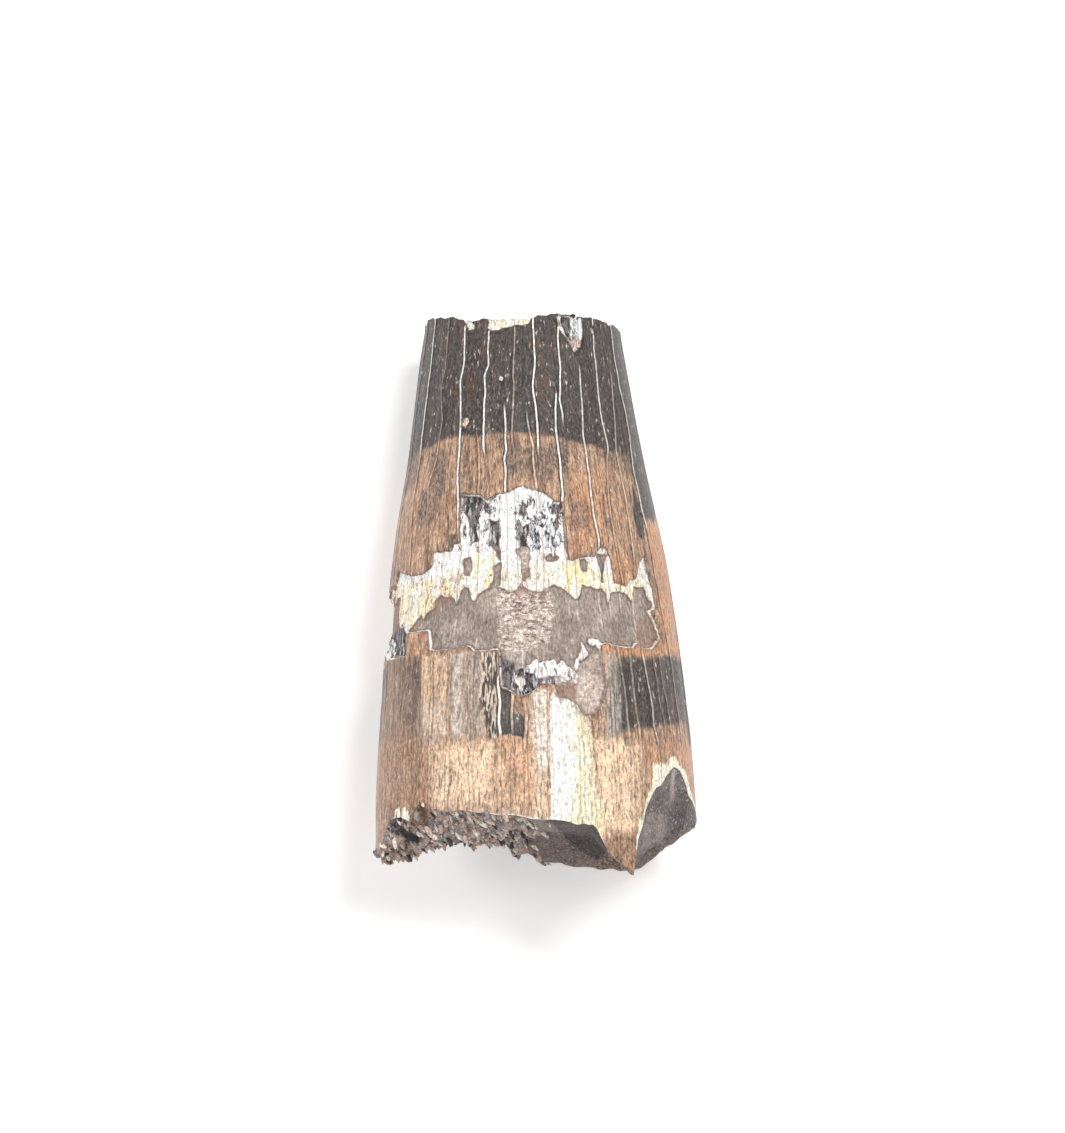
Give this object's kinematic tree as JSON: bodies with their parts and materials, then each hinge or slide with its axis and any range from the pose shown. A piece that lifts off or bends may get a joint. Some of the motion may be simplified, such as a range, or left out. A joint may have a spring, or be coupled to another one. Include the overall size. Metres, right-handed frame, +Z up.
{
  "type": "fossil baryonyx tooth",
  "caption": "Broken fossil tooth crown with lengthwise ridges, flaked enamel and a fractured root end, lying on its side.",
  "frame": {"origin": "on the surface that the tooth lies on, under the middle of its box", "axes": "+Y along the crown towards the broken tip, +Z up from the resting surface, +X to the right of the tip's direction as seen from above"},
  "size_m": [0.015, 0.0262, 0.0129],
  "materials": {
    "fossil_enamel": "satin"
  },
  "bodies": {
    "root": {"tooth": "fossil_enamel"}
  },
  "joints": []
}
